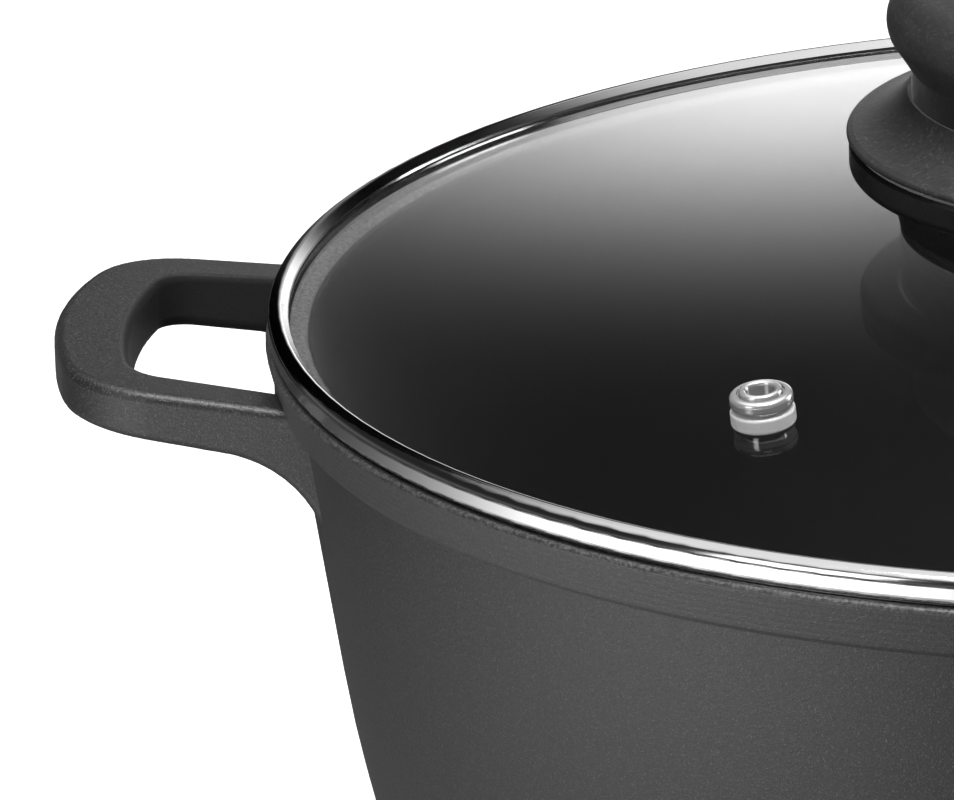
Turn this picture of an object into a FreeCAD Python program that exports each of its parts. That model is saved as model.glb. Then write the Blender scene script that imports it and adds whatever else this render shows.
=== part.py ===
import FreeCAD, Part
import math
import os

# Two-handled casserole with a domed glass lid. Millimetres, +Z up, standing on Z = 0.
# The handles lie along X. Heights named *_RIM are measured from the rim level.

RIM_Z = 112.0
WALL_T = 4.0
FLOOR_Z = 6.0
WALL_LEAN = math.radians(8.2)
WALL_STRAIGHT_Z = 62.0
WALL_STRAIGHT_R = 117.2
BELLY_R = 200.0
BELLY_END_Z = 17.0

SEAT_RIM = -5.1
SEAT_R = 125.05
MOUTH_R = 120.8
LIP_RIM = -3.4
FLANGE_R = 126.2
FLANGE_LOW_R = 124.9
FLANGE_LOW_RIM = -9.6

HANDLE_REACH = 155.9
HANDLE_HALF_W = 33.0
HANDLE_HOLE_REACH = 145.4
HANDLE_HOLE_HALF_W = 25.7
HANDLE_TAPER = 0.1
HANDLE_HOLE_TAPER = 0.2
HANDLE_HOLE_SIDE_DRAFT = 0.33
HANDLE_HOLE_END_DRAFT = 0.09
HANDLE_HOLE_CORNER_R = 6.2
HANDLE_TILT = math.radians(6.0)
HANDLE_UNDER_TILT = math.radians(9.0)
HANDLE_TOP_RIM = -7.0
HANDLE_TOP_AT = 127.0
HANDLE_ROOT_R = 125.2
HANDLE_GUSSET_R = 15.2
HANDLE_GUSSET_FOOT_RIM = -25.0
HANDLE_GUSSET_BITE = math.radians(8.0)
HANDLE_EDGE_R = 1.3

PLATE_R = 72.0
PLATE_T = 2.5
FOOT_LIFT = 0.2

DOME_R = 678.8
DOME_APEX = RIM_Z + 10.7
GLASS_T = 3.6
GLASS_R = 124.0
FIT = 0.3
SNUG = 0.05

BAND_R = 125.8
BAND_LOW_R = 124.75
BAND_LIP_R = 122.9

KNOB_BASE_R = 38.8
KNOB_BASE_TOP = RIM_Z + 17.4
KNOB_SKIRT_R = 45.7
KNOB_NECK_R = 36.7
KNOB_NECK_Z = RIM_Z + 27.4
KNOB_GRIP_Z = RIM_Z + 32.3
KNOB_GRIP_R = 40.0
KNOB_TOP = RIM_Z + 46.5

SCREW_R = 2.5
SCREW_HOLE_R = 2.8
SCREW_END = RIM_Z + 38.0
INSERT_R = 5.0
INSERT_TOP = RIM_Z + 41.0

VENT_X = -54.0
VENT_Y = -74.2
VENT_BORE_R = 1.9
VENT_TUBE_R = 2.5
VENT_FLANGE_R = 4.2
VENT_TOP = 4.9


def at(r, z):
    return FreeCAD.Vector(r, 0, z)


def line(a, b):
    return Part.LineSegment(a, b).toShape()


def arc(a, b, c):
    return Part.Arc(a, b, c).toShape()


def turn(edges):
    """Revolve a closed section in the XZ plane about Z."""
    face = Part.Face(Part.Wire(edges))
    return face.revolve(FreeCAD.Vector(0, 0, 0), FreeCAD.Vector(0, 0, 1), 360)


def turn_corners(corners):
    """Revolve a straight-sided section given as (radius, height) corners."""
    points = [at(r, z) for r, z in corners]
    return turn([line(a, b) for a, b in zip(points, points[1:] + points[:1])])


def ring(r_in, r_out, z_low, z_high):
    outer = Part.makeCylinder(r_out, z_high - z_low, at(0, z_low))
    if r_in <= 0:
        return outer
    return outer.cut(Part.makeCylinder(r_in, z_high - z_low, at(0, z_low)))


def soften(shape, radius, chosen):
    """Round every edge the test picks out."""
    return shape.makeFillet(radius, [e for e in shape.Edges if chosen(e)])


def dome_z(r, offset=0.0):
    """Height of the lid's outer sphere, or of one offset from it, at radius r."""
    ball = DOME_R + offset
    return DOME_APEX - DOME_R + math.sqrt(ball * ball - r * r)


def swing(start, lean_from, lean_to, radius):
    """Middle and end of an arc that bends inwards as it runs down."""
    def reach(lean):
        return at(start.x + radius * (math.cos(lean) - math.cos(lean_from)),
                  start.z - radius * (math.sin(lean) - math.sin(lean_from)))
    return reach((lean_from + lean_to) / 2), reach(lean_to)


def wall_edges(inset, top_z, floor_z):
    """Side wall from top_z down to the flat floor, inset from the outside face."""
    lean = WALL_LEAN
    belly_lean = math.asin(math.sin(lean) + (WALL_STRAIGHT_Z - BELLY_END_Z) / BELLY_R)
    bend = at(WALL_STRAIGHT_R - inset * math.cos(lean), WALL_STRAIGHT_Z + inset * math.sin(lean))
    top = at(bend.x + (top_z - bend.z) * math.tan(lean), top_z)
    mid, low = swing(bend, lean, belly_lean, BELLY_R - inset)
    corner = (low.z - floor_z) / (1 - math.sin(belly_lean))
    corner_mid, foot = swing(low, belly_lean, math.pi / 2, corner)
    return [line(top, bend), arc(bend, mid, low), arc(low, corner_mid, foot)], top, foot


def pot_outside():
    neck_z = RIM_Z + FLANGE_LOW_RIM - 1.3
    wall, neck, foot = wall_edges(0, neck_z, FOOT_LIFT)
    cove = at(neck.x + 0.2, neck_z + 0.5)
    under = at(FLANGE_LOW_R - 0.5, neck_z + 0.65)
    low = at(FLANGE_LOW_R, RIM_Z + FLANGE_LOW_RIM)
    high = at(FLANGE_R, RIM_Z + LIP_RIM - 0.8)
    shoulder = at(FLANGE_R - 0.22, RIM_Z + LIP_RIM - 0.2)
    crown = at(FLANGE_R - 0.7, RIM_Z + LIP_RIM)
    middle = at(0, RIM_Z + LIP_RIM)
    below = at(0, FOOT_LIFT)
    rim = [line(neck, cove), line(cove, under), line(under, low), line(low, high), arc(high, shoulder, crown)]
    return turn(wall + rim + [line(crown, middle), line(middle, below), line(below, foot)])


def pot_inside():
    lead = at(MOUTH_R, RIM_Z + SEAT_RIM)
    wall, top, foot = wall_edges(WALL_T, RIM_Z + SEAT_RIM - 1.0, FLOOR_Z)
    seat = at(SEAT_R, RIM_Z + SEAT_RIM)
    over = at(SEAT_R, RIM_Z + 1)
    axis_top = at(0, RIM_Z + 1)
    axis_low = at(0, FLOOR_Z)
    bore = [line(axis_low, foot), line(top, lead), line(lead, seat), line(seat, over)]
    return turn(wall + bore + [line(over, axis_top), line(axis_top, axis_low)])


def loop_plan(reach, half_w, crown_r, taper, level):
    """Plan of a handle loop or of its hole: tapering sides and a crowned end."""
    near = 100.0
    end_half_w = half_w - taper * (reach - 5 - 118)
    end_x = reach - crown_r + math.sqrt(crown_r ** 2 - end_half_w ** 2)
    near_half_w = half_w + taper * (118 - near)
    left = FreeCAD.Vector(near, near_half_w, level)
    right = FreeCAD.Vector(near, -near_half_w, level)
    a = FreeCAD.Vector(end_x, end_half_w, level)
    b = FreeCAD.Vector(end_x, -end_half_w, level)
    return Part.Wire([line(right, b), arc(b, FreeCAD.Vector(reach, 0, level), a), line(a, left), line(left, right)])


def handle_loop():
    """The loop as a block with upright sides and rounded corners."""
    plan = loop_plan(HANDLE_REACH, HANDLE_HALF_W, 70.0, HANDLE_TAPER, 0)
    block = Part.Face(plan).extrude(FreeCAD.Vector(0, 0, RIM_Z))
    return soften(block, 15.0, lambda e: upright(e) and e.BoundBox.XMin > 105)


def handle_hole():
    """The finger hole, drafted so that it narrows downwards."""
    high = RIM_Z + HANDLE_TOP_RIM + 4
    low = high - 24

    def plan(level):
        depth = RIM_Z + HANDLE_TOP_RIM - level
        reach = HANDLE_HOLE_REACH - depth * HANDLE_HOLE_END_DRAFT
        half_w = HANDLE_HOLE_HALF_W - depth * HANDLE_HOLE_SIDE_DRAFT
        return loop_plan(reach, half_w, 90.0, HANDLE_HOLE_TAPER, level)
    block = Part.makeLoft([plan(high), plan(low)], True, True)
    block = soften(block, HANDLE_HOLE_CORNER_R, lambda e: e.BoundBox.ZLength > 20 and e.BoundBox.XMin > 120)
    return block.cut(Part.makeCylinder(HANDLE_ROOT_R, RIM_Z + 10))


def upright(edge):
    box = edge.BoundBox
    return box.XLength < 0.01 and box.YLength < 0.01


def runs_down(edge):
    """True for the corner lines between the top and the underside."""
    box = edge.BoundBox
    return box.ZLength > 3 * max(box.XLength, box.YLength)


def handle_underside():
    """Everything above the handle's lower face, which sweeps down into the wall."""
    slope = math.tan(HANDLE_UNDER_TILT)
    foot_z = RIM_Z + HANDLE_GUSSET_FOOT_RIM
    foot_r = WALL_STRAIGHT_R + (foot_z - WALL_STRAIGHT_Z) * math.tan(WALL_LEAN)
    steep = math.pi / 2 - WALL_LEAN - HANDLE_GUSSET_BITE

    def sweep(angle):
        return at(foot_r + HANDLE_GUSSET_R * (math.sin(steep) - math.sin(angle)),
                  foot_z + HANDLE_GUSSET_R * (math.cos(angle) - math.cos(steep)))
    start = sweep(HANDLE_UNDER_TILT)
    mid = sweep((HANDLE_UNDER_TILT + steep) / 2)
    foot = at(foot_r, foot_z)
    buried = at(foot_r - 6 * math.cos(steep), foot_z - 6 * math.sin(steep))
    inner = at(90, buried.z)
    top_in = at(90, RIM_Z + 10)
    top_out = at(170, RIM_Z + 10)
    tip = at(170, start.z + (170 - start.x) * slope)
    return turn([line(inner, buried), line(buried, foot), arc(foot, mid, start), line(start, tip),
                 line(tip, top_out), line(top_out, top_in), line(top_in, inner)])


def handle_top_cut():
    """The space above the handle's flat, slightly rising top."""
    slope = math.tan(HANDLE_TILT)
    level = RIM_Z + HANDLE_TOP_RIM
    a = FreeCAD.Vector(90, -60, level + (90 - HANDLE_TOP_AT) * slope)
    b = FreeCAD.Vector(170, -60, level + (170 - HANDLE_TOP_AT) * slope)
    c = FreeCAD.Vector(170, -60, RIM_Z + 20)
    d = FreeCAD.Vector(90, -60, RIM_Z + 20)
    wire = Part.Wire([line(a, b), line(b, c), line(c, d), line(d, a)])
    return Part.Face(wire).extrude(FreeCAD.Vector(0, 120, 0))


def handle():
    body = handle_loop().common(handle_underside()).cut(handle_top_cut()).cut(handle_hole())
    free = HANDLE_ROOT_R + 1.0

    def rim_edge(e):
        return e.BoundBox.XMax > free and e.BoundBox.XMin > 99 and not runs_down(e) and on_skin(e)
    return soften(body, HANDLE_EDGE_R, rim_edge)


def on_skin(edge):
    """True for edges between a side face and the top or the underside."""
    middle = edge.valueAt((edge.FirstParameter + edge.LastParameter) / 2)
    return abs(middle.x - HANDLE_ROOT_R) > 1.0


def pot_body():
    body = pot_outside()
    first = handle()
    second = first.copy()
    second.rotate(FreeCAD.Vector(0, 0, 0), FreeCAD.Vector(0, 0, 1), 180)
    body = body.fuse(first).fuse(second)
    body = body.cut(pot_inside())
    return body.cut(ring(0, PLATE_R + SNUG, 0, PLATE_T + SNUG))


def base_plate():
    plate = ring(0, PLATE_R, 0, PLATE_T)
    for radius in (20, 40, 60):
        plate = plate.cut(ring(radius - 0.6, radius + 0.6, 0, 0.3))
    return soften(plate, 0.4, lambda e: e.BoundBox.ZMax < 0.01 and e.BoundBox.XMax > PLATE_R - 0.01)


def vent_placed(shape):
    """Stand a piece built at the origin on the dome, square to the glass."""
    radius = math.hypot(VENT_X, VENT_Y)
    tilt = math.degrees(math.asin(radius / DOME_R))
    axis = FreeCAD.Vector(-VENT_Y, VENT_X, 0)
    spot = FreeCAD.Vector(VENT_X, VENT_Y, dome_z(radius))
    shape.Placement = FreeCAD.Placement(spot, FreeCAD.Rotation(axis, tilt))
    return shape


def lid_glass():
    top = [at(0, dome_z(0)), at(GLASS_R / 2, dome_z(GLASS_R / 2)), at(GLASS_R - 0.5, dome_z(GLASS_R - 0.5))]
    low_r = GLASS_R - 0.5
    low = [at(0, dome_z(0, -GLASS_T)), at(low_r / 2, dome_z(low_r / 2, -GLASS_T)), at(low_r, dome_z(low_r, -GLASS_T))]
    edge_top = at(GLASS_R, top[2].z - 0.6)
    edge_low = at(GLASS_R, low[2].z + 0.6)
    glass = turn([arc(*top), line(top[2], edge_top), line(edge_top, edge_low), line(edge_low, low[2]),
                  arc(low[2], low[1], low[0]), line(low[0], top[0])])
    glass = glass.cut(ring(0, SCREW_HOLE_R + 0.7, RIM_Z, RIM_Z + 20))
    return glass.cut(vent_placed(ring(0, VENT_TUBE_R + 0.6, -10, 10)))


def lid_band():
    lip_under = at(BAND_LIP_R, dome_z(BAND_LIP_R) + 0.15)
    lip_over = at(BAND_LIP_R + 0.1, lip_under.z + 0.32)
    crest_in = at(BAND_LIP_R + 0.95, RIM_Z + 0.85)
    crest = at(BAND_LIP_R + 1.3, RIM_Z + 1.0)
    crest_out = at(BAND_LIP_R + 1.7, RIM_Z + 0.88)
    brow = at(BAND_R - 0.32, RIM_Z + 0.25)
    side_high = at(BAND_R, RIM_Z - 0.7)
    side_low = at(BAND_R, RIM_Z - 2.1)
    curl = at(BAND_R - 0.3, RIM_Z - 2.75)
    waist = at(BAND_LOW_R, RIM_Z - 3.1)
    foot_out = at(BAND_LOW_R, RIM_Z + SEAT_RIM + 0.02)
    foot_in = at(BAND_LIP_R - 0.6, RIM_Z + SEAT_RIM + 0.02)
    foot_up = at(BAND_LIP_R - 0.6, RIM_Z + SEAT_RIM + 0.5)
    slot_low = at(GLASS_R + FIT, RIM_Z + SEAT_RIM + 0.5)
    slot_high = at(GLASS_R + FIT, dome_z(GLASS_R) + 0.15)
    return turn([line(lip_under, lip_over), line(lip_over, crest_in), arc(crest_in, crest, crest_out),
                 arc(crest_out, brow, side_high),
                 line(side_high, side_low), arc(side_low, curl, waist), line(waist, foot_out),
                 line(foot_out, foot_in), line(foot_in, foot_up), line(foot_up, slot_low),
                 line(slot_low, slot_high), line(slot_high, lip_under)])


def vent_eyelet():
    tube = ring(VENT_BORE_R, VENT_TUBE_R, -5.2, VENT_TOP)
    flange = ring(VENT_BORE_R, VENT_FLANGE_R, VENT_TOP - 2.0, VENT_TOP)
    flange = soften(flange, 0.7, lambda e: outer_circle(e, VENT_FLANGE_R))
    flange = flange.cut(ring(VENT_FLANGE_R - 1.3, VENT_FLANGE_R - 1.0, VENT_TOP - 0.4, VENT_TOP + 1))
    bead = Part.makeTorus(VENT_BORE_R + 0.5, 0.48, FreeCAD.Vector(0, 0, VENT_TOP))
    flare = turn_corners([(VENT_BORE_R, -5.3), (VENT_TUBE_R + 1.2, -5.3), (VENT_TUBE_R + 1.2, -4.95),
                          (VENT_TUBE_R, -4.75), (VENT_BORE_R, -4.75)])
    return vent_placed(tube.fuse(flange).fuse(bead).fuse(flare).removeSplitter())


def outer_circle(edge, radius):
    return edge.BoundBox.XMax > radius - 0.01 and edge.Curve.TypeId == "Part::GeomCircle"


def vent_collar():
    collar = ring(VENT_TUBE_R + 0.1, VENT_FLANGE_R + 0.1, 0.5, VENT_TOP - 2.25)
    return vent_placed(soften(collar, 0.4, lambda e: outer_circle(e, VENT_FLANGE_R + 0.1)))


def vent_seal():
    sleeve = ring(VENT_TUBE_R + SNUG, VENT_TUBE_R + 0.5, -4.1, 0.48)
    upper = ring(VENT_TUBE_R + SNUG, VENT_FLANGE_R - 0.1, 0.06, 0.48)
    lower = ring(VENT_TUBE_R + SNUG, VENT_FLANGE_R - 0.1, -4.1, -GLASS_T - 0.06)
    return vent_placed(sleeve.fuse(upper).fuse(lower).removeSplitter())


def vent_backing():
    return vent_placed(ring(VENT_TUBE_R + SNUG, VENT_FLANGE_R, -4.7, -4.12))


def knob_gasket():
    inner = KNOB_BASE_R - 5.3
    outer = KNOB_BASE_R - 0.2
    return turn_corners([(inner, dome_z(inner) + SNUG), (outer, dome_z(outer) + SNUG),
                         (outer, dome_z(outer) + 0.85), (inner, dome_z(inner) + 0.85)])


def knob_base():
    rim_in = KNOB_BASE_R - 5.5
    roof = KNOB_BASE_TOP - 3.4
    post = 9.0
    foot_out = at(KNOB_BASE_R, dome_z(KNOB_BASE_R) + 0.9)
    foot_in = at(rim_in, dome_z(rim_in) + 0.9)
    post_foot = DOME_APEX + 0.9
    points = [foot_out, foot_in, at(rim_in, roof), at(post, roof), at(post, post_foot), at(SCREW_HOLE_R, post_foot),
              at(SCREW_HOLE_R, KNOB_BASE_TOP), at(KNOB_BASE_R - 0.5, KNOB_BASE_TOP),
              at(KNOB_BASE_R - 0.5, KNOB_BASE_TOP - 0.8), at(KNOB_BASE_R, KNOB_BASE_TOP - 0.8)]
    return turn([line(a, b) for a, b in zip(points, points[1:] + points[:1])])


def knob_rim():
    low = KNOB_BASE_TOP + SNUG
    high = RIM_Z + 21.3
    corners = [at(SCREW_HOLE_R, low), at(KNOB_SKIRT_R - 1.6, low - 0.6), at(KNOB_SKIRT_R - 0.3, low + 0.9),
               at(KNOB_SKIRT_R - 0.3, high - 0.5), at(KNOB_SKIRT_R - 0.8, high), at(SCREW_HOLE_R, high)]
    inner_edge = at(KNOB_BASE_R + 0.6, low)
    under = at(KNOB_BASE_R + 1.2, low - 0.6)
    turn_in = at(KNOB_SKIRT_R - 0.65, low - 0.15)
    return turn([line(corners[0], inner_edge), line(inner_edge, under), line(under, corners[1]),
                 arc(corners[1], turn_in, corners[2]), line(corners[2], corners[3]), line(corners[3], corners[4]),
                 line(corners[4], corners[5]), line(corners[5], corners[0])])


def knob_skirt():
    low = RIM_Z + 21.3 + SNUG
    groove_r = KNOB_SKIRT_R - 1.5
    edge_low = at(KNOB_SKIRT_R - 0.1, low + 0.7)
    edge_mid = at(KNOB_SKIRT_R, low + 1.1)
    edge_high = at(KNOB_SKIRT_R - 0.25, low + 1.5)
    dip = at(KNOB_SKIRT_R - 0.9, low + 1.8)
    cove = at(KNOB_SKIRT_R - 5.1, RIM_Z + 24.8)
    brim = at(KNOB_NECK_R + 0.6, RIM_Z + 28.2)
    seat_edge = at(KNOB_NECK_R + FIT, RIM_Z + 28.2)
    seat = at(KNOB_NECK_R + FIT, KNOB_NECK_Z)
    hole_top = at(SCREW_HOLE_R, KNOB_NECK_Z)
    hole_low = at(SCREW_HOLE_R, low)
    groove = at(groove_r, low)
    groove_top = at(groove_r, low + 0.5)
    return turn([line(hole_low, groove), line(groove, groove_top), line(groove_top, edge_low),
                 arc(edge_low, edge_mid, edge_high), line(edge_high, dip), arc(dip, cove, brim),
                 line(brim, seat_edge), line(seat_edge, seat), line(seat, hole_top),
                 line(hole_top, hole_low)])


def knob_collar():
    return ring(SCREW_HOLE_R, KNOB_NECK_R, KNOB_NECK_Z + SNUG, KNOB_GRIP_Z - SNUG)


def knob_grip():
    heel_in = at(SCREW_HOLE_R, KNOB_GRIP_Z)
    heel = at(KNOB_NECK_R + 0.35, KNOB_GRIP_Z)
    flare_mid = at(KNOB_NECK_R + 1.6, KNOB_GRIP_Z + 2.0)
    flare = at(KNOB_GRIP_R - 0.6, KNOB_GRIP_Z + 3.6)
    widest = at(KNOB_GRIP_R, KNOB_GRIP_Z + 6.1)
    brow = at(KNOB_GRIP_R - 1.3, KNOB_GRIP_Z + 9.1)
    crown_edge = at(KNOB_GRIP_R - 4.2, KNOB_GRIP_Z + 11.1)
    crown = at(0, KNOB_TOP)
    crown_ball = (crown_edge.x ** 2 + (KNOB_TOP - crown_edge.z) ** 2) / (2 * (KNOB_TOP - crown_edge.z))
    crown_mid = at(KNOB_GRIP_R / 2, KNOB_TOP - crown_ball + math.sqrt(crown_ball ** 2 - KNOB_GRIP_R ** 2 / 4))
    roof = at(0, INSERT_TOP + SNUG)
    pocket_top = at(INSERT_R + SNUG, INSERT_TOP + SNUG)
    pocket_low = at(INSERT_R + SNUG, KNOB_GRIP_Z + 0.4)
    shelf = at(SCREW_HOLE_R, KNOB_GRIP_Z + 0.4)
    return turn([line(heel_in, heel), arc(heel, flare_mid, flare), arc(flare, widest, brow),
                 arc(brow, at(KNOB_GRIP_R - 2.5, KNOB_GRIP_Z + 10.4), crown_edge), arc(crown_edge, crown_mid, crown),
                 line(crown, roof), line(roof, pocket_top), line(pocket_top, pocket_low), line(pocket_low, shelf),
                 line(shelf, heel_in)])


def knob_insert():
    body = ring(SCREW_R + SNUG, INSERT_R, KNOB_GRIP_Z + 0.45, INSERT_TOP)
    for height in (2.5, 5.5):
        body = body.cut(ring(INSERT_R - 0.5, INSERT_R + 1, KNOB_GRIP_Z + height, KNOB_GRIP_Z + height + 0.8))
    return body


def screw_seal():
    washer = ring(SCREW_R + SNUG, 10.0, RIM_Z + 5.9, RIM_Z + 7.0)
    sleeve = ring(SCREW_R + SNUG, SCREW_HOLE_R + 0.4, RIM_Z + 5.9, DOME_APEX - 0.1)
    return washer.fuse(sleeve).removeSplitter()


def screw_washer():
    washer = ring(SCREW_R + SNUG, 9.0, RIM_Z + 4.7, RIM_Z + 5.88)
    return soften(washer, 0.3, lambda e: e.BoundBox.XMax > 8.99 and e.Curve.TypeId == "Part::GeomCircle")


def spring_washer():
    washer = ring(SCREW_R + SNUG, 4.4, RIM_Z + 3.42, RIM_Z + 4.68)
    slit = Part.makeBox(4, 0.7, 4, FreeCAD.Vector(1.5, -0.35, RIM_Z + 2))
    slit.rotate(FreeCAD.Vector(3, 0, RIM_Z + 4), FreeCAD.Vector(1, 0, 0), 25)
    return washer.cut(slit)


def knob_screw():
    shank = ring(0, SCREW_R, RIM_Z + 3.0, SCREW_END)
    head_low = at(0, RIM_Z + 0.6)
    head_mid = at(3.6, RIM_Z + 1.1)
    head_out = at(4.8, RIM_Z + 2.4)
    head = turn([line(at(0, RIM_Z + 3.4), head_low), arc(head_low, head_mid, head_out),
                 line(head_out, at(4.8, RIM_Z + 3.4)), line(at(4.8, RIM_Z + 3.4), at(0, RIM_Z + 3.4))])
    screw = shank.fuse(head).removeSplitter()
    for angle in (0, 90):
        slot = Part.makeBox(5, 1.1, 2, FreeCAD.Vector(-2.5, -0.55, RIM_Z))
        slot.rotate(FreeCAD.Vector(0, 0, 0), FreeCAD.Vector(0, 0, 1), angle)
        screw = screw.cut(slot)
    return screw


PIECES = (pot_body, base_plate, lid_glass, lid_band, vent_eyelet, vent_collar, vent_seal, vent_backing,
          knob_gasket, knob_base, knob_rim, knob_skirt, knob_collar, knob_grip, knob_insert,
          screw_seal, screw_washer, spring_washer, knob_screw)

os.makedirs("parts", exist_ok=True)
for piece in PIECES:
    solid = piece()
    if not solid.isValid():
        raise RuntimeError(piece.__name__ + " is not a valid solid")
    solid.exportStep(os.path.join("parts", piece.__name__ + ".step"))
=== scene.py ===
"""Looks for a lidded casserole: cast pot, domed glass lid, steam vent and stepped knob."""

import math

import bpy
from mathutils import Matrix, Vector

bl_info = {
    "name": "Lidded Casserole",
    "version": (1, 0, 0),
    "blender": (4, 5, 0),
    "location": "View3D > Sidebar > Casserole",
    "description": "Finishes a cast casserole with a domed glass lid",
    "category": "Object",
}

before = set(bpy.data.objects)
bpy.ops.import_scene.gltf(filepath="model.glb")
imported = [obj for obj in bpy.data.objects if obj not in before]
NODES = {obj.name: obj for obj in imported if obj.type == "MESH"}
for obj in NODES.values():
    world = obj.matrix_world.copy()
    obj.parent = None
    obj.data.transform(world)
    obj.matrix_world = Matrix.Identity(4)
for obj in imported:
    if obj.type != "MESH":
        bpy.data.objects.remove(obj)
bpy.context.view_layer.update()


# ---------------------------------------------------------------- places on the pot, in metres

# The rim level, which the heights at the mouth are set out from.
RIM = 0.112

# Inside the mouth: the lid's seat, the pale ledge in it and the black lining below it.
SEAT_R = 0.12506
LEDGE_R = 0.1190
LEDGE_FADE = (RIM - 0.0069, RIM - 0.0063)
LINING_R = 0.1199
LINING_LOW = 0.004
LINING_TOP = RIM - 0.00515

# The middle of the wall: it leans out as it rises, and bellies in below BELLY_TOP.
WALL_FOOT_R = 0.10635
WALL_LEAN = 0.1441
BELLY_TOP = 0.062
BELLY_CURVE = 2.6

# The turned flange, and the painted highlight on the lip at its crown.
FLANGE_R = 0.12625
FLANGE_FADE_R = (0.1236, 0.1240)
FLANGE_FADE = (RIM - 0.0108, RIM - 0.0100)
LIP_IN_R = (0.1252, 0.1255)
LIP_OUT_R = (0.12605, FLANGE_R)
LIP_LOW = RIM - 0.0042

# Where the handles stand clear of the flange.
HANDLE_R = 0.1268
HANDLE_LOW = RIM - 0.030


# ---------------------------------------------------------------- shader expressions


class Val:
    """A value that varies over a surface, usable in ordinary arithmetic."""

    def __init__(self, shop, socket):
        self.shop = shop
        self.socket = socket

    def _math(self, operation, *values, clamp=False):
        settings = {"operation": operation, "use_clamp": clamp}
        return self.shop.node("ShaderNodeMath", settings, dict(enumerate(values)))

    def __add__(self, other):
        return self._math("ADD", self, other)

    def __radd__(self, other):
        return self._math("ADD", other, self)

    def __sub__(self, other):
        return self._math("SUBTRACT", self, other)

    def __rsub__(self, other):
        return self._math("SUBTRACT", other, self)

    def __mul__(self, other):
        return self._math("MULTIPLY", self, other)

    def __rmul__(self, other):
        return self._math("MULTIPLY", other, self)

    def __pow__(self, other):
        return self._math("POWER", self, other)

    def __abs__(self):
        return self._math("ABSOLUTE", self)

    def above(self, level):
        """1 above the level and 0 below it."""
        return self._math("GREATER_THAN", self, level)

    def below(self, level):
        """1 below the level and 0 above it."""
        return self._math("LESS_THAN", self, level)

    def exp(self):
        return self._math("EXPONENT", self)

    def clamped(self):
        """Held between 0 and 1."""
        return self._math("ADD", self, 0.0, clamp=True)

    def wave(self, pitch):
        """A sine of this length in metres, from -1 to 1."""
        return self._math("SINE", self * (2 * math.pi / pitch))

    def step(self, low, high):
        """Rises smoothly from 0 at low to 1 at high."""
        return self.shop.node(
            "ShaderNodeMapRange",
            {"interpolation_type": "SMOOTHSTEP"},
            {"Value": self, "From Min": low, "From Max": high, "To Min": 0.0, "To Max": 1.0},
        )


class Shop:
    """Builds one material's nodes."""

    def __init__(self, name, tree=None):
        if tree is None:
            self.material = bpy.data.materials.new(name)
            self.material.use_nodes = True
            tree = self.material.node_tree
        self.tree = tree
        tree.nodes.clear()

    def node(self, kind, settings=None, inputs=None, output=0):
        """Add a node: its settings first, then a value or a link for each input."""
        made = self.tree.nodes.new(kind)
        for key, value in (settings or {}).items():
            setattr(made, key, value)
        for key, value in (inputs or {}).items():
            socket = made.inputs[key]
            if isinstance(value, Val):
                self.tree.links.new(value.socket, socket)
            elif socket.type == "RGBA":
                socket.default_value = (*value, 1.0)
            else:
                socket.default_value = value
        return Val(self, made.outputs[output])

    def place(self):
        """Position on the object, in metres."""
        return self.node("ShaderNodeTexCoord", output="Object")

    def parts(self, vector):
        """The three numbers of a vector."""
        return [self.node("ShaderNodeSeparateXYZ", None, {0: vector}, axis) for axis in range(3)]

    def scaled(self, vector, scale):
        return self.node("ShaderNodeVectorMath", {"operation": "MULTIPLY"}, {0: vector, 1: scale})

    def noise(self, vector, scale, detail=2.0, roughness=0.5):
        inputs = {"Vector": vector, "Scale": scale, "Detail": detail, "Roughness": roughness}
        return self.node("ShaderNodeTexNoise", None, inputs)

    def blend(self, amount, first, second):
        """From the first colour at 0 to the second at 1."""
        # A Mix node's colours are its inputs 6 and 7, and its mixed colour is output 2.
        return self.node("ShaderNodeMix", {"data_type": "RGBA"}, {0: amount, 6: first, 7: second}, 2)

    def tint(self, colour, factor):
        """A colour made lighter or darker by a number round 1."""
        return self.node("ShaderNodeVectorMath", {"operation": "SCALE"}, {0: colour, "Scale": factor})

    def bump(self, height, distance, strength):
        inputs = {"Height": height, "Distance": distance, "Strength": strength}
        return self.node("ShaderNodeBump", None, inputs)

    def mix(self, amount, first, second):
        """From the first shader at 0 to the second at 1."""
        return self.node("ShaderNodeMixShader", None, {0: amount, 1: first, 2: second})

    def surface(self, **sockets):
        """The Principled shader, by socket name with _ for a space."""
        values = {key.replace("_", " "): value for key, value in sockets.items()}
        return self.node("ShaderNodeBsdfPrincipled", None, values)

    def glow(self, level):
        """A surface that only gives off light, white at this level."""
        return self.surface(
            Base_Color=(0.0, 0.0, 0.0),
            Roughness=1.0,
            IOR=1.0,
            Emission_Color=level,
            Emission_Strength=1.0,
        )

    def finish(self, shader):
        out = self.tree.nodes.new("ShaderNodeOutputMaterial")
        self.tree.links.new(shader.socket, out.inputs["Surface"])
        return self.material


def dress(name, material, mirrored=True, through_glass=True):
    """Give a CAD node its finish, and say if gloss mirrors it and if glass shows it."""
    NODES[name].visible_glossy = mirrored
    NODES[name].visible_transmission = through_glass
    mesh = NODES[name].data
    mesh.materials.clear()
    mesh.materials.append(material)


# ---------------------------------------------------------------- sizes and colours


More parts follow.
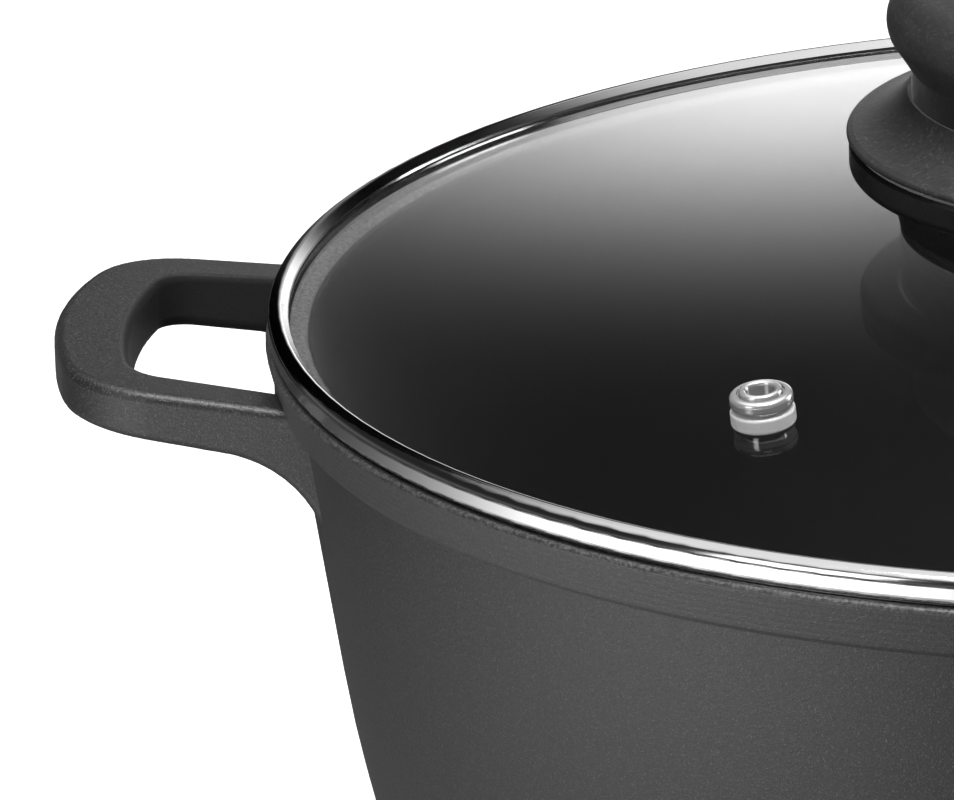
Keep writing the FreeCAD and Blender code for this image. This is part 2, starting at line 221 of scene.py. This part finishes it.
class CasseroleColours(bpy.types.PropertyGroup):
    def tone(name, description, default):
        return bpy.props.FloatVectorProperty(
            name=name,
            description=description,
            default=default,
            size=3,
            subtype="COLOR",
            min=0.0,
            max=1.0,
        )

    casting: tone("Casting", "Charcoal coating on the outside of the pot", (0.013, 0.013, 0.0133))
    flange: tone("Flange", "Coating on the turned rim flange", (0.026, 0.026, 0.0263))
    ledge: tone("Ledge", "Coating on the seat inside the rim", (0.12, 0.12, 0.12))
    # Painted highlight: a pale tone standing in for the light that the crown of the rim catches.
    lip_highlight: tone("Lip", "Rubbed coating on the crown of the rim", (0.11, 0.11, 0.11))
    lining: tone("Lining", "Black non-stick lining", (0.006, 0.006, 0.0064))
    fleck: tone("Flecks", "Pale flecks in the coating", (0.22, 0.22, 0.22))
    steel: tone("Polished steel", "Rim band and steam vent", (0.80, 0.80, 0.80))
    collar: tone("Satin steel", "Collar under the steam vent", (0.95, 0.95, 0.95))
    plain_steel: tone("Plain steel", "Base plate, screw and washers", (0.55, 0.55, 0.56))
    matte_moulding: tone("Matte moulding", "Grained black knob mouldings", (0.042, 0.042, 0.042))
    gloss_moulding: tone("Gloss moulding", "Smooth black knob mouldings", (0.010, 0.010, 0.010))
    silicone: tone("Silicone", "Seals and gaskets", (0.018, 0.018, 0.018))
    brass: tone("Brass", "Thread insert", (0.70, 0.50, 0.20))


class CasseroleSizes(bpy.types.PropertyGroup):
    def length(name, description, default):
        return bpy.props.FloatProperty(
            name=name,
            description=description,
            default=default,
            min=0.00001,
            unit="LENGTH",
            precision=5,
        )

    grain: length("Casting grain", "Size of the coating's grain", 0.0006)
    grain_depth: length("Grain depth", "Height of the coating's grain", 0.00005)
    turned_pitch: length("Turned pitch", "Distance between the turned lines on the flange", 0.0009)
    peel: length("Orange peel", "Size of the grain on the knob's mouldings", 0.0012)
    peel_depth: length("Peel depth", "Height of the grain on the knob's mouldings", 0.00009)


class CasseroleStage(bpy.types.PropertyGroup):
    def angle(name, description, default):
        return bpy.props.FloatProperty(
            name=name, description=description, default=default, subtype="ANGLE"
        )

    floor: bpy.props.FloatVectorProperty(
        name="Floor",
        description="Colour of the floor",
        default=(0.86, 0.86, 0.86),
        size=3,
        subtype="COLOR",
    )
    distance: bpy.props.FloatProperty(
        name="Distance",
        description="Camera to the centre of the rim",
        default=1.2,
        unit="LENGTH",
    )
    elevation: angle("Elevation", "Height angle of the camera", 0.312614)
    yaw: angle("Yaw", "Camera turned left", 0.085343)
    pitch: angle("Pitch", "Camera tipped down", 0.324931)
    roll: angle("Roll", "Camera rolled", -0.030472)
    lens: bpy.props.FloatProperty(
        name="Lens", description="Focal length in millimetres", default=328.05
    )


# ---------------------------------------------------------------- pieces


class CASSEROLE_OT_pot(bpy.types.Operator):
    """Charcoal coating, turned flange and black lining of the cast pot"""

    bl_idname = "casserole.pot"
    bl_label = "Pot"

    def execute(self, context):
        tones = context.scene.casserole_colours
        sizes = context.scene.casserole_sizes
        shop = Shop("pot_coating")
        place = shop.place()
        x, y, z = shop.parts(place)
        radius = (x * x + y * y) ** 0.5

        # Where each finish, and the painted shade and painted highlight, lies: 1 on it and 0 off it.
        inside = radius.below(SEAT_R)
        lining = inside * self.lining(radius, z)
        ledge = inside * radius.above(LEDGE_R) * z.step(*LEDGE_FADE)
        # Painted shade: the faces inside the finger holes are darkened and dulled to stand in for the
        # shade that falls in them.
        hole_shade = self.finger_hole(shop, x, y) * radius.above(HANDLE_R) * z.above(HANDLE_LOW)
        flange = radius.step(*FLANGE_FADE_R) * z.step(*FLANGE_FADE) * radius.below(FLANGE_R)
        lip_highlight = radius.step(*LIP_IN_R) * (1 - radius.step(*LIP_OUT_R)) * z.above(LIP_LOW)

        # The coating's grain, from broad clouds down to single flecks.
        broad = shop.noise(place, 26.0, 3.0, 0.55)
        fine = shop.noise(place, 1 / sizes.grain, 3.0, 0.65)
        grit = shop.noise(place, 1 / (0.8 * sizes.grain), 2.0, 0.7)
        flecks = shop.noise(place, 1 / (0.6 * sizes.grain), 1.0, 0.5).step(0.56, 0.72)
        specks = shop.noise(place, 1 / (0.36 * sizes.grain), 1.0, 0.6).step(0.55, 0.74)
        sparkle = (specks * 0.9 + flecks * 0.35).clamped() * (1 - hole_shade) * (1 - lining)

        coat = shop.blend(flange, tones.casting, tones.flange)
        coat = shop.blend(sparkle * 0.55, coat, tones.fleck)
        coat = shop.blend(ledge, coat, tones.ledge)
        # Painted highlight: a speckled pale band on the crown of the rim, where its top edge would
        # catch light.
        coat = shop.blend(lip_highlight * grit.step(0.40, 0.62), coat, tones.lip_highlight)
        # The grain's brightness, times painted shade that darkens the finger holes.
        shade = (0.66 + fine * 0.52 + broad * 0.16) * (1 - hole_shade * 0.7) * (0.25 + grit * 1.5)
        ledge_grain = 1 + ledge * (fine.step(0.35, 0.65) - 0.5) * 0.9
        colour = shop.blend(lining, shop.tint(coat, shade * ledge_grain), tones.lining)

        streaks = shop.noise(shop.scaled(place, (1, 1, 60)), 60.0, 2.0)
        lines = z.wave(sizes.turned_pitch) * 0.25 + streaks
        height = fine * (1 - lining) + flecks * 0.5 + lines * flange * 0.5
        normal = shop.bump(height, sizes.grain_depth, 0.9)
        skin = shop.surface(
            Base_Color=colour,
            Metallic=sparkle * (1 - ledge) * 0.42,
            Roughness=0.43 + (fine - 0.5) * 0.18 - lining * 0.06 + ledge * 0.16 + hole_shade * 0.4,
            Specular_IOR_Level=0.8,
            Sheen_Weight=0.08,
            Sheen_Roughness=0.35,
            Normal=normal,
        )
        # A dark, dull surface mixed over the finger holes as painted shade.
        painted_shade_coat = shop.surface(
            Base_Color=tones.lining, Roughness=0.7, Specular_IOR_Level=0.15, Normal=normal
        )
        dress("pot_body", shop.finish(shop.mix(hole_shade * 0.75, skin, painted_shade_coat)))
        return {"FINISHED"}

    def lining(self, radius, z):
        """1 on the inner face of the wall and floor, below the ledge."""
        belly = (BELLY_TOP - z).clamped()
        outer = radius.above(z * WALL_LEAN + WALL_FOOT_R - belly * belly * BELLY_CURVE)
        return (1 - radius.above(LINING_R)) * z.above(LINING_LOW) * z.below(LINING_TOP) * (1 - outer)

    def finger_hole(self, shop, x, y):
        """1 on upright faces that look back towards a handle's middle line or the pot's axis, where
        painted shade goes.
        """
        across, along, _ = shop.parts(shop.node("ShaderNodeNewGeometry", output="Normal"))
        sides = (y * along * -80.0 - 0.2).clamped()
        ends = (x * across * -14.0 - 0.5).clamped()
        return (sides + ends).clamped()


class CASSEROLE_OT_base_plate(bpy.types.Operator):
    """Turned steel disc in the underside"""

    bl_idname = "casserole.base_plate"
    bl_label = "Base Plate"

    def execute(self, context):
        tones = context.scene.casserole_colours
        dress("base_plate", turned_steel("turned_steel", tones.plain_steel, 0.0006))
        return {"FINISHED"}


def turned_steel(name, tone, pitch):
    """Steel with fine rings about the pot's axis."""
    shop = Shop(name)
    place = shop.place()
    x, y, _ = shop.parts(place)
    radius = (x * x + y * y) ** 0.5
    rings = radius.wave(pitch) * 0.3 + shop.noise(place, 900.0, 2.0)
    smudge = shop.noise(place, 30.0, 3.0, 0.6)
    shader = shop.surface(
        Base_Color=shop.tint(tone, 0.86 + smudge * 0.2),
        Metallic=1.0,
        Roughness=0.26 + smudge * 0.16,
        Normal=shop.bump(rings, 0.00002, 0.6),
    )
    return shop.finish(shader)


def polished_steel(name, tone, roughness):
    """Polished steel with faint smudges and hairlines."""
    shop = Shop(name)
    place = shop.place()
    smudge = shop.noise(place, 45.0, 3.0, 0.6)
    hair = shop.noise(shop.scaled(place, (1, 1, 14)), 260.0, 3.0, 0.6)
    shader = shop.surface(
        Base_Color=shop.tint(tone, 0.93 + smudge * 0.10),
        Metallic=1.0,
        Roughness=roughness + smudge * 0.05 + hair * 0.04,
        Normal=shop.bump(hair, 0.00001, 0.35),
    )
    return shop.finish(shader)


class CASSEROLE_OT_glass(bpy.types.Operator):
    """Clear tempered glass of the lid"""

    bl_idname = "casserole.glass"
    bl_label = "Lid Glass"

    def execute(self, context):
        shop = Shop("tempered_glass")
        place = shop.place()
        ripple = shop.noise(place, 14.0, 2.0, 0.5)
        normal = shop.bump(ripple, 0.0002, 0.10)
        patches = shop.noise(place, 30.0, 2.0).step(0.44, 0.64)
        dust = shop.noise(place, 1700.0, 1.0, 0.5).step(0.765, 0.80) * patches
        solid = shop.surface(
            Base_Color=(0.98, 0.98, 0.98),
            Roughness=0.03,
            IOR=1.5,
            Transmission_Weight=1.0,
            Normal=normal,
        )
        speck = shop.surface(Base_Color=(0.20, 0.20, 0.20), Roughness=0.6)
        clear = shop.node("ShaderNodeBsdfTransparent", None, {"Color": (0.945, 0.945, 0.945)})
        # Lamp light passes straight through, so the inside of the pot isn't left black.
        to_lamp = shop.node("ShaderNodeLightPath", output="Is Shadow Ray")
        shader = shop.mix(to_lamp, shop.mix(dust * 0.22, solid, speck), clear)
        dress("lid_glass", shop.finish(shader))
        return {"FINISHED"}


class CASSEROLE_OT_band(bpy.types.Operator):
    """Polished steel band rolled round the edge of the glass"""

    bl_idname = "casserole.band"
    bl_label = "Rim Band"

    def execute(self, context):
        tones = context.scene.casserole_colours
        dress("lid_band", polished_steel("band_steel", tones.steel, 0.07))
        return {"FINISHED"}


class CASSEROLE_OT_vent(bpy.types.Operator):
    """Steel steam vent with its collar, grommet and washer"""

    bl_idname = "casserole.vent"
    bl_label = "Steam Vent"

    def execute(self, context):
        tones = context.scene.casserole_colours
        eyelet = self.satin("eyelet_steel", tones.collar, 0.70, 0.16)
        collar = self.satin("collar_steel", tones.collar, 0.10, 0.36)
        dress("vent_eyelet", eyelet, mirrored=False, through_glass=False)
        dress("vent_collar", collar, mirrored=False, through_glass=False)
        dress("vent_backing", polished_steel("vent_washer_steel", tones.plain_steel, 0.22))
        dress("vent_seal", silicone("vent_silicone", tones.silicone, 0.55))
        return {"FINISHED"}

    def satin(self, name, tone, metallic, roughness):
        """Tumbled steel: pale and soft, with faint rings round it."""
        shop = Shop(name)
        place = shop.place()
        hair = shop.noise(shop.scaled(place, (1, 1, 20)), 160.0, 3.0, 0.6)
        shader = shop.surface(
            Base_Color=shop.tint(tone, 0.90 + hair * 0.14),
            Metallic=metallic,
            Roughness=roughness + hair * 0.10,
            Normal=shop.bump(hair, 0.00002, 0.5),
        )
        return shop.finish(shader)


def moulding(name, tone, grain, depth, roughness):
    """Moulded black plastic with an orange-peel grain and small bright pits."""
    shop = Shop(name)
    place = shop.place()
    peel = shop.noise(place, 1 / grain, 4.0, 0.72)
    pits = shop.noise(place, 2.2 / grain, 1.0, 0.5).step(0.60, 0.72)
    broad = shop.noise(place, 34.0, 3.0, 0.55)
    shader = shop.surface(
        Base_Color=shop.tint(tone, 0.20 + peel * 1.15 + broad * 0.25 + pits * 0.9),
        Metallic=pits * 0.16 + peel.step(0.5, 0.75) * 0.12,
        Roughness=roughness + (peel - 0.5) * 0.20,
        Normal=shop.bump(peel + pits * 0.3, depth, 0.9),
    )
    return shop.finish(shader)


def silicone(name, tone, roughness):
    """Soft black silicone with a very shallow grain."""
    return moulding(name, tone, 0.0009, 0.00001, roughness)


class CASSEROLE_OT_knob(bpy.types.Operator):
    """Boss, skirt, neck and grip of the knob"""

    bl_idname = "casserole.knob"
    bl_label = "Knob"

    def execute(self, context):
        tones = context.scene.casserole_colours
        sizes = context.scene.casserole_sizes
        grain, depth = sizes.peel, sizes.peel_depth
        matte = moulding("matte_moulding", tones.matte_moulding, grain, depth, 0.46)
        gloss = moulding("gloss_moulding", tones.gloss_moulding, grain * 2, depth * 0.3, 0.30)
        for name in ("knob_grip", "knob_skirt"):
            dress(name, matte, mirrored=False)
        for name in ("knob_base", "knob_rim", "knob_collar"):
            dress(name, gloss, mirrored=False)
        dress("knob_gasket", silicone("gasket_silicone", tones.silicone, 0.6))
        return {"FINISHED"}


class CASSEROLE_OT_fixings(bpy.types.Operator):
    """Screw, washers, seal and thread insert inside the lid"""

    bl_idname = "casserole.fixings"
    bl_label = "Fixings"

    def execute(self, context):
        tones = context.scene.casserole_colours
        steel = turned_steel("fixing_steel", tones.plain_steel, 0.0004)
        for name in ("knob_screw", "screw_washer", "spring_washer"):
            dress(name, steel)
        dress("knob_insert", turned_steel("insert_brass", tones.brass, 0.0005))
        dress("screw_seal", silicone("seal_silicone", tones.silicone, 0.6))
        return {"FINISHED"}


# ---------------------------------------------------------------- stage


# Soft lamps: middle, width and height, the way they face, and watts.
LAMPS = {
    "left_softbox": ((-0.9, -0.9, 0.5), (0.5, 0.7), (0.9, 0.9, -0.42), 2.0),
    "front_softbox": ((0.0, -0.35, 1.3), (0.8, 0.5), (0.0, 0.35, -1.2), 14.0),
    "right_softbox": ((1.2, 0.7, 0.6), (0.6, 0.6), (-1.2, -0.7, -0.5), 5.0),
}

# Light that the floor bounces up: the middle, spread and level of each round patch.
FLOOR_LEVEL = 0.05
POOLS = ((-0.34, -0.29, 0.21, 3.0), (0.40, 0.30, 0.25, 2.0))

# The bright lane on the floor behind the pot, and the pale panel that stands across it.
LANE_HALF, LANE_FADE, LANE_LEVEL = 0.09, 0.05, 1.2
LANE_NEAR, LANE_FAR = (0.15, 0.3), (0.9, 1.4)
PANEL_Y, PANEL_HALF_W, PANEL_HALF_H = 0.6, 0.75, 0.45
PANEL_GLOW_W, PANEL_FADE_W = 0.08, 0.10
PANEL_GLOW_H, PANEL_FADE_H = 0.153, 0.1506
PANEL_LEVEL = 1.45

# Width of the camera's sensor, in millimetres.
SENSOR_MM = 36.0

# The room: a weak glow round the horizon and a bright ceiling, by their height angles.
HORIZON_SPREAD = math.sin(math.radians(9))
CEILING_FADE = (math.sin(math.radians(38)), math.sin(math.radians(58)))
HORIZON_LEVEL, CEILING_LEVEL, ROOM_LEVEL = 0.10, 0.9, 0.02


def softbox(name, middle, size, facing, watts):
    """A soft rectangular lamp."""
    light = bpy.data.lights.new(name, "AREA")
    light.shape = "RECTANGLE"
    light.size, light.size_y = size
    light.energy = watts
    made = bpy.data.objects.new(name, light)
    made.location = middle
    made.rotation_euler = Vector(facing).to_track_quat("-Z", "Y").to_euler()
    bpy.context.scene.collection.objects.link(made)


def flat(name, middle, half_across, half_along):
    """A flat rectangle of the stage, from its middle and its two half sides."""
    mid, across, along = Vector(middle), Vector(half_across), Vector(half_along)
    mesh = bpy.data.meshes.new(name)
    near, far = mid - along, mid + along
    corners = [near - across, near + across, far + across, far - across]
    mesh.from_pydata(corners, [], [(0, 1, 2, 3)])
    made = bpy.data.objects.new(name, mesh)
    bpy.context.scene.collection.objects.link(made)
    return made


class CASSEROLE_OT_stage(bpy.types.Operator):
    """Pale floor, soft studio light and the camera"""

    bl_idname = "casserole.stage"
    bl_label = "Stage"

    def execute(self, context):
        scene = context.scene
        setup = scene.casserole_stage
        self.floor(setup)
        self.back_panel()
        self.room(scene)
        for name, lamp in LAMPS.items():
            softbox(name, *lamp)
        self.camera(scene, setup)
        scene.view_settings.view_transform = "Standard"
        scene.view_settings.look = "None"
        return {"FINISHED"}

    def floor(self, setup):
        """Pale paper to the eye, and soft patches of light to everything else."""
        made = flat("floor", (0.0, 0.0, 0.0), (30.0, 0.0, 0.0), (0.0, 30.0, 0.0))
        shop = Shop("floor_paper")
        place = shop.place()
        x, y, _ = shop.parts(place)
        tooth = shop.noise(place, 900.0, 2.0)
        paper = shop.surface(
            Base_Color=shop.tint(setup.floor, 0.97 + tooth * 0.04),
            Roughness=0.9,
            Emission_Color=(1.0, 1.0, 1.0),
            Emission_Strength=0.55,
        )
        level = FLOOR_LEVEL
        for mid_x, mid_y, spread, bright in POOLS:
            level = level + self.pool(x, y, mid_x, mid_y, spread) * bright
        lane = self.hump(x, LANE_HALF, LANE_FADE) * y.step(*LANE_NEAR) * (1 - y.step(*LANE_FAR))
        bounce = shop.glow(level + lane * LANE_LEVEL)
        seen = shop.node("ShaderNodeLightPath", output="Is Camera Ray")
        made.data.materials.append(shop.finish(shop.mix(seen, bounce, paper)))

    def pool(self, x, y, mid_x, mid_y, spread):
        """A round patch of light that fades outwards."""
        across, along = x - mid_x, y - mid_y
        return ((across * across + along * along) * (-1 / spread**2)).exp()

    def hump(self, value, half, fade):
        """1 while the value is within half of zero, fading beyond it."""
        past = abs(value) - half
        past = past.above(0.0) * past
        return (past * past * (-1 / fade**2)).exp()

    def back_panel(self):
        """A pale card behind the pot, out of the camera's sight, that the glass mirrors."""
        middle = (0.0, PANEL_Y, PANEL_HALF_H)
        made = flat("back_panel", middle, (PANEL_HALF_W, 0.0, 0.0), (0.0, 0.0, PANEL_HALF_H))
        made.visible_camera = False
        shop = Shop("back_panel_glow")
        x, _, z = shop.parts(shop.place())
        column = self.hump(x, PANEL_GLOW_W, PANEL_FADE_W)
        level = column * self.hump(z, PANEL_GLOW_H, PANEL_FADE_H) * PANEL_LEVEL
        made.data.materials.append(shop.finish(shop.glow(level)))

    def room(self, scene):
        """White to the eye. Its light comes from the horizon and the ceiling."""
        world = bpy.data.worlds.new("studio")
        world.use_nodes = True
        scene.world = world
        shop = Shop("studio", world.node_tree)
        height = shop.parts(shop.node("ShaderNodeTexCoord", output="Generated"))[2]
        low = (height * height * (-1 / HORIZON_SPREAD**2)).exp()
        high = height.step(*CEILING_FADE)
        seen = shop.node("ShaderNodeLightPath", output="Is Camera Ray")
        level = (low * HORIZON_LEVEL + high * CEILING_LEVEL + ROOM_LEVEL) * (1 - seen) + seen
        light = shop.node("ShaderNodeBackground", None, {"Color": level, "Strength": 1.0})
        out = shop.tree.nodes.new("ShaderNodeOutputWorld")
        shop.tree.links.new(light.socket, out.inputs["Surface"])

    def camera(self, scene, setup):
        lens = bpy.data.cameras.new("camera")
        lens.sensor_width = SENSOR_MM
        lens.lens = setup.lens
        made = bpy.data.objects.new("camera", lens)
        scene.collection.objects.link(made)
        out = setup.distance * math.cos(setup.elevation)
        up = setup.distance * math.sin(setup.elevation)
        turn = Matrix.Rotation(setup.yaw, 4, "Z")
        tip = Matrix.Rotation(math.pi / 2 - setup.pitch, 4, "X")
        roll = Matrix.Rotation(setup.roll, 4, "Z")
        made.matrix_world = Matrix.Translation((0.0, -out, RIM + up)) @ turn @ tip @ roll
        scene.camera = made


STEPS = (
    CASSEROLE_OT_stage,
    CASSEROLE_OT_pot,
    CASSEROLE_OT_base_plate,
    CASSEROLE_OT_glass,
    CASSEROLE_OT_band,
    CASSEROLE_OT_vent,
    CASSEROLE_OT_knob,
    CASSEROLE_OT_fixings,
)


class CASSEROLE_PT_panel(bpy.types.Panel):
    """Lists the casserole's steps"""

    bl_idname = "CASSEROLE_PT_panel"
    bl_label = "Lidded Casserole"
    bl_space_type = "VIEW_3D"
    bl_region_type = "UI"
    bl_category = "Casserole"

    def draw(self, context):
        for step in STEPS:
            self.layout.operator(step.bl_idname)


GROUPS = {
    "casserole_colours": CasseroleColours,
    "casserole_sizes": CasseroleSizes,
    "casserole_stage": CasseroleStage,
}


def register():
    for kind in (*GROUPS.values(), *STEPS, CASSEROLE_PT_panel):
        bpy.utils.register_class(kind)
    for name, kind in GROUPS.items():
        setattr(bpy.types.Scene, name, bpy.props.PointerProperty(type=kind))


def unregister():
    for name in GROUPS:
        delattr(bpy.types.Scene, name)
    for kind in (CASSEROLE_PT_panel, *reversed(STEPS), *reversed(GROUPS.values())):
        bpy.utils.unregister_class(kind)


def main():
    register()
    for step in STEPS:
        group, name = step.bl_idname.split(".")
        getattr(getattr(bpy.ops, group), name)()


if __name__ == "__main__":
    main()
